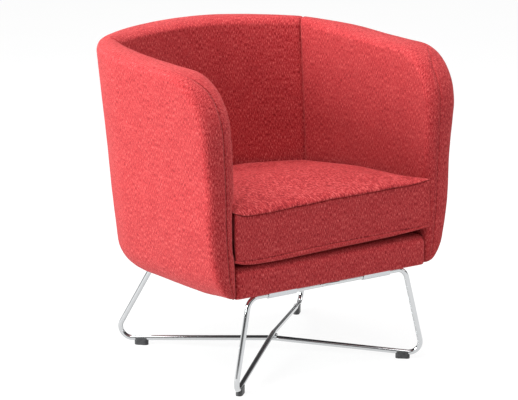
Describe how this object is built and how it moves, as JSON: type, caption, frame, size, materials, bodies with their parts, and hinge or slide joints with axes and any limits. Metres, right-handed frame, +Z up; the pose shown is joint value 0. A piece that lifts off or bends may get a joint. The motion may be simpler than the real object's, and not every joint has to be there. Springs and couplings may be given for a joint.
{
  "type": "club chair",
  "caption": "Club chair with a rounded, tapering upholstered tub, a loose box cushion and a crossed chromed steel rod base.",
  "frame": {"origin": "on the floor, under the centre of the chair's bounding box", "axes": "+Z up, -Y the way the chair faces, X along its width"},
  "size_m": [0.7124, 0.657, 0.738],
  "materials": {
    "chromed_rod": "polished",
    "zinc_steel": "zinc plated",
    "black_screw": "black oxide",
    "brass_insert": "turned",
    "glide_plastic": "matte",
    "beech": "sawn",
    "plywood": "sawn",
    "jute": "woven",
    "foam": "open-cell foam",
    "wadding": "fleece",
    "red_melange": "woven wool melange",
    "deck_cloth": "woven",
    "black_cloth": "non-woven",
    "zip_tape": "woven tape",
    "nickel": "nickel plated"
  },
  "bodies": {
    "chair": {"base_rod_lower": "chromed_rod", "base_rod_upper": "chromed_rod", "frame_welds": "chromed_rod", "base_clamps": "zinc_steel", "clamp_bolts": "black_screw", "threaded_inserts": "brass_insert", "floor_glides": "glide_plastic", "seat_front_rail": "beech", "seat_cross_rail": "beech", "seat_left_rail": "beech", "seat_right_rail": "beech", "seat_rear_rail": "beech", "corner_blocks": "beech", "webbing_lengthwise": "jute", "webbing_crosswise": "jute", "webbing_staples": "zinc_steel", "deck_foam": "foam", "deck_cloth": "deck_cloth", "left_arm_panel": "plywood", "right_arm_panel": "plywood", "back_panel": "plywood", "corner_posts": "beech", "left_arm_foam": "foam", "right_arm_foam": "foam", "back_foam": "foam", "left_arm_wadding": "wadding", "right_arm_wadding": "wadding", "back_wadding": "wadding", "edge_roll": "foam", "outer_cover": "red_melange", "inner_left_cover": "red_melange", "inner_right_cover": "red_melange", "inner_back_cover": "red_melange", "front_rail_foam": "foam", "front_rail_cover": "red_melange", "dust_cover": "black_cloth", "dust_cover_staples": "zinc_steel"},
    "cushion": {"cushion_foam": "foam", "cushion_top_panel": "red_melange", "cushion_border": "red_melange", "cushion_bottom_panel": "red_melange", "cushion_zip": "zip_tape"},
    "zip_slider": {"zip_slider": "nickel"}
  },
  "joints": [
    {"name": "cushion_lift", "type": "slide", "parent": "chair", "child": "cushion", "axis": [0, 0, 1], "range_m": [0, 0.45]},
    {"name": "zip_slide", "type": "slide", "parent": "cushion", "child": "zip_slider", "axis": [-1, 0, 0], "range_m": [0, 0.18]}
  ]
}
